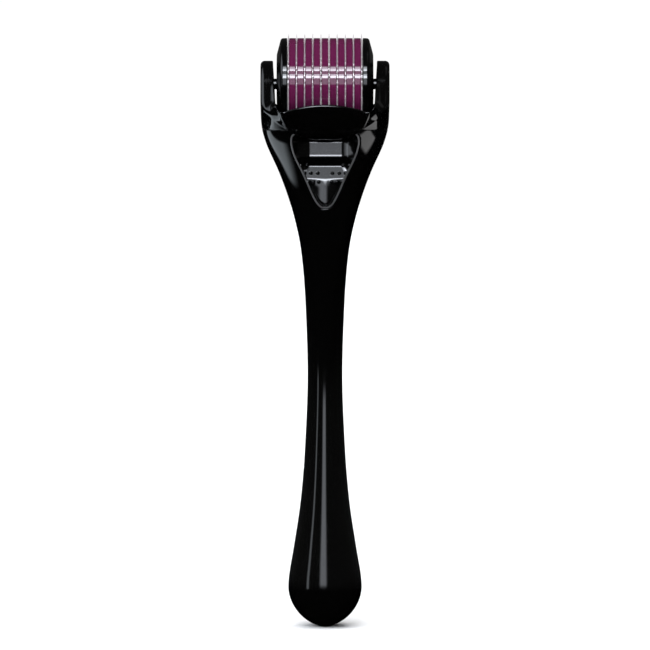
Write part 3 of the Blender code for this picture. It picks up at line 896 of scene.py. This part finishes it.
def end_cap(side):
    """A dished cap with its stub axle outside and its spigot inside the core."""
    node = "end_cap_right" if side > 0 else "end_cap_left"
    low, high = box_mm(node)
    tip = max(abs(low[0]), abs(high[0]))
    inner = box_mm("drum_core")[1][0] + CAP_SEAT
    outer = inner + CAP_WIDTH
    corners = [
        (AXIS_R, tip),
        (STUB_R, tip),
        (STUB_R, outer),
        (CAP_FACE_R, outer),
        (DRUM_R, outer - CAP_EDGE),
        (DRUM_R, inner),
        (SPIGOT_R, inner),
        (SPIGOT_R, inner - SPIGOT_LENGTH),
        (AXIS_R, inner - SPIGOT_LENGTH),
    ]
    profile = rounded_profile(corners, (0, 0.25, 0.15, 0.5, 0.7, 0.12, 0, 0.2, 0), 6)
    if side < 0:
        profile = [(r, -x) for r, x in reversed(profile)]
    cap = turned(f"{node}_smooth", profile, 160, BLACK, closed=False, sharp=40)
    stand_for(cap, node, "drum")


CORE_BORE_R = 2.0
CORE_HEX_R = 3.58


def drum_core():
    """The six-sided core inside the drum."""
    low, high = box_mm("drum_core")
    profile = [(CORE_BORE_R, low[0]), (CORE_HEX_R, low[0]), (CORE_HEX_R, high[0]), (CORE_BORE_R, high[0])]
    core = turned("drum_core_smooth", profile[::-1], 6, BLACK, closed=True, sharp=20)
    stand_for(core, "drum_core", "drum")


for number in range(1, 11):
    needle_disc(number)
for number in range(1, 10):
    spacer_ring(number)
for side in (-1, 1):
    end_cap(side)
drum_core()


# --- stage ---------------------------------------------------------------------------------

LOW, HIGH = (np.array(v) for v in (cad_low, cad_high))
CENTRE = (LOW + HIGH) / 2
# The object fills the picture's height but for this margin. The camera aims a little above its middle.
VIEW_MARGIN = 1.0888
AIM_RISE = 0.00177
CAMERA_DISTANCE = 1.0
CAMERA_ELEVATION = 3.5
SENSOR_WIDTH = 36.0
SURROUND_R = 4.0
FLOOR_SIZE = 6.0

# The world's light panels, by direction in degrees: azimuth 0 is in front of the object and grows
# to its right. Each range fades in from its first to its second number and out from its third to its last.
SKY_GLOW = 0.04
SKY_RISE = (-10, 4)
MAIN_AZIMUTHS = (-18, -10, 0, 8)
MAIN_COLOUR = (0.93, 0.98, 1.06)
# The main panel's bands, as (strength, elevations): the drum mirrors them as its bright rows.
MAIN_BANDS = [
    (2.6, (-3, 1, 12, 14)),
    (25.0, (13.5, 16, 20, 21.5)),
    (13.0, (20.5, 22, 24, 25.5)),
    (2.3, (25, 26, 32, 33)),
    (25.0, (32.5, 34, 36, 38)),
    (11.0, (36.5, 38, 40, 47)),
]
# The other panels, as (azimuths, elevations, strength, colour).
SIDE_PANELS = [
    ((-56, -53, -49, -46), (-6, -3, 25, 30), 1.8, (0.9, 0.98, 1.05)),
    ((-110, -95, -45, -25), (14, 20, 45, 60), 2.0, (0.92, 0.98, 1.06)),
    ((14, 20, 90, 110), (48, 56, 80, 86), 0.2, (1, 1, 1)),
]


def math_node(tree, operation, a, b=None):
    node = tree.nodes.new("ShaderNodeMath")
    node.operation = operation
    for socket, value in zip(node.inputs, (a, b)):
        if isinstance(value, (int, float)):
            socket.default_value = value
        elif value is not None:
            tree.links.new(value, socket)
    return node.outputs[0]


def fade(tree, value, start, end):
    """A smooth rise from 0 where the value is start to 1 where it is end."""
    node = tree.nodes.new("ShaderNodeMapRange")
    node.interpolation_type = "SMOOTHSTEP"
    node.inputs["From Min"].default_value = start
    node.inputs["From Max"].default_value = end
    tree.links.new(value, node.inputs["Value"])
    return node.outputs["Result"]


def band(tree, value, low, full_low, full_high, high):
    rising = fade(tree, value, low, full_low)
    falling = math_node(tree, "SUBTRACT", 1.0, fade(tree, value, full_high, high))
    return math_node(tree, "MULTIPLY", rising, falling)


def emission(name, colour, strength):
    made = bpy.data.materials.new(name)
    made.use_nodes = True
    tree = made.node_tree
    tree.nodes.clear()
    shader = tree.nodes.new("ShaderNodeEmission")
    shader.inputs["Color"].default_value = (*colour, 1)
    shader.inputs["Strength"].default_value = strength
    output = tree.nodes.new("ShaderNodeOutputMaterial")
    tree.links.new(shader.outputs["Emission"], output.inputs["Surface"])
    return made, tree, shader


def backdrop():
    """A plain white surround that only the camera sees."""
    bpy.ops.mesh.primitive_uv_sphere_add(
        segments=48, ring_count=24, radius=SURROUND_R, location=tuple(CENTRE)
    )
    dome = bpy.context.object
    dome.name = "white_surround"
    dome.data.materials.append(emission("surround_white", (1, 1, 1), 1.02)[0])
    dome.visible_diffuse = dome.visible_glossy = dome.visible_transmission = False
    dome.visible_shadow = dome.visible_volume_scatter = False
    dome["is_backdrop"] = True


def floor():
    bpy.ops.mesh.primitive_plane_add(size=FLOOR_SIZE, location=(0, 0, LOW[2]))
    plane = bpy.context.object
    plane.name = "pale_floor"
    made, tree, shader = material("floor_white")
    shader.inputs["Base Color"].default_value = (0.9, 0.9, 0.9, 1)
    shader.inputs["Roughness"].default_value = 1.0
    shader.inputs["Specular IOR Level"].default_value = 0.0
    plane.data.materials.append(made)
    plane.visible_glossy = False
    plane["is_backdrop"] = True


def card(name, centre, half_size, turn, strength, colour):
    """A small level card beside the object, lit on top only and fading at its edges.

    It is seen only in reflections. The centre and the half size are in millimetres, the turn in degrees.
    """
    bpy.ops.mesh.primitive_plane_add(size=2.0, location=tuple(np.array(centre) * MM))
    plane = bpy.context.object
    plane.name = name
    plane.scale = (half_size[0] * MM, half_size[1] * MM, 1)
    plane.rotation_euler.z = math.radians(turn)
    made, tree, shader = emission(f"{name}_glow", colour, 1.0)
    place = tree.nodes.new("ShaderNodeTexCoord")
    parts = tree.nodes.new("ShaderNodeSeparateXYZ")
    tree.links.new(place.outputs["Object"], parts.inputs[0])
    side = tree.nodes.new("ShaderNodeNewGeometry")
    on_top = math_node(tree, "SUBTRACT", 1.0, side.outputs["Backfacing"])
    level = math_node(tree, "MULTIPLY", on_top, strength)
    for axis in (0, 1):
        away = math_node(tree, "ABSOLUTE", parts.outputs[axis])
        level = math_node(tree, "MULTIPLY", level, fade(tree, away, 1.0, 0.7))
    tree.links.new(level, shader.inputs["Strength"])
    plane.data.materials.append(made)
    plane.visible_camera = plane.visible_diffuse = plane.visible_shadow = False
    plane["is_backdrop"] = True


def sun(name, strength, width, tilt, turn):
    light = bpy.data.lights.new(name, "SUN")
    light.energy = strength
    light.angle = math.radians(width)
    obj = bpy.data.objects.new(name, light)
    bpy.context.scene.collection.objects.link(obj)
    obj.rotation_euler = (math.radians(tilt), 0, math.radians(turn))
    obj.visible_glossy = False


def colour_node(tree, blend, first, second):
    """Mixes two colours in full. Each may be a socket or a plain colour."""
    node = tree.nodes.new("ShaderNodeMix")
    node.data_type = "RGBA"
    node.blend_type = blend
    node.inputs[0].default_value = 1.0
    for socket, value in zip((node.inputs[6], node.inputs[7]), (first, second)):
        if isinstance(value, tuple):
            socket.default_value = (*value, 1)
        else:
            tree.links.new(value, socket)
    return node.outputs[2]


def world():
    """A dim sky with the light panels on it."""
    made = bpy.data.worlds.new("studio")
    made.use_nodes = True
    tree = made.node_tree
    place = tree.nodes.new("ShaderNodeTexCoord")
    parts = tree.nodes.new("ShaderNodeSeparateXYZ")
    tree.links.new(place.outputs["Generated"], parts.inputs[0])
    to_degrees = math.degrees(1)
    up = math_node(tree, "MULTIPLY", math_node(tree, "ARCSINE", parts.outputs[2]), to_degrees)
    toward = math_node(tree, "MULTIPLY", parts.outputs[1], -1.0)
    around = math_node(tree, "ARCTAN2", parts.outputs[0], toward)
    around = math_node(tree, "MULTIPLY", around, to_degrees)

    def panel(azimuths, level, colour):
        level = math_node(tree, "MULTIPLY", band(tree, around, *azimuths), level)
        return colour_node(tree, "MULTIPLY", level, colour)

    main = None
    for strength, elevations in MAIN_BANDS:
        level = math_node(tree, "MULTIPLY", band(tree, up, *elevations), strength)
        main = level if main is None else math_node(tree, "ADD", main, level)
    sky = math_node(tree, "MULTIPLY", fade(tree, up, *SKY_RISE), SKY_GLOW)
    total = colour_node(tree, "ADD", sky, panel(MAIN_AZIMUTHS, main, MAIN_COLOUR))
    for azimuths, elevations, strength, colour in SIDE_PANELS:
        level = math_node(tree, "MULTIPLY", band(tree, up, *elevations), strength)
        total = colour_node(tree, "ADD", total, panel(azimuths, level, colour))
    tree.links.new(total, tree.nodes["Background"].inputs["Color"])
    bpy.context.scene.world = made


def camera():
    data = bpy.data.cameras.new("camera")
    field_of_view = (HIGH[2] - LOW[2]) * VIEW_MARGIN
    data.lens = SENSOR_WIDTH * CAMERA_DISTANCE / field_of_view
    data.sensor_width = SENSOR_WIDTH
    data.clip_start, data.clip_end = 0.05, 20.0
    obj = bpy.data.objects.new("camera", data)
    bpy.context.scene.collection.objects.link(obj)
    rise = math.radians(CAMERA_ELEVATION)
    back = Vector((0, -math.cos(rise), math.sin(rise)))
    aim = Vector((CENTRE[0], CENTRE[1], CENTRE[2] + AIM_RISE))
    obj.location = aim + back * CAMERA_DISTANCE
    obj.rotation_euler = (-back).to_track_quat("-Z", "Y").to_euler()
    bpy.context.scene.camera = obj


backdrop()
floor()
sun("top_light", strength=3.2, width=70, tilt=8, turn=0)
sun("front_light", strength=1.0, width=60, tilt=60, turn=-20)
card("card_left", (-40.7, 2.4, 99), (31, 9.5), -39, 2.2, (0.88, 0.98, 1.05))
card("card_right", (16, -15, 110), (5.5, 5.5), 0, 2.2, (1, 1, 1))
world()
camera()
bpy.context.scene.view_settings.view_transform = "Standard"

low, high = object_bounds()
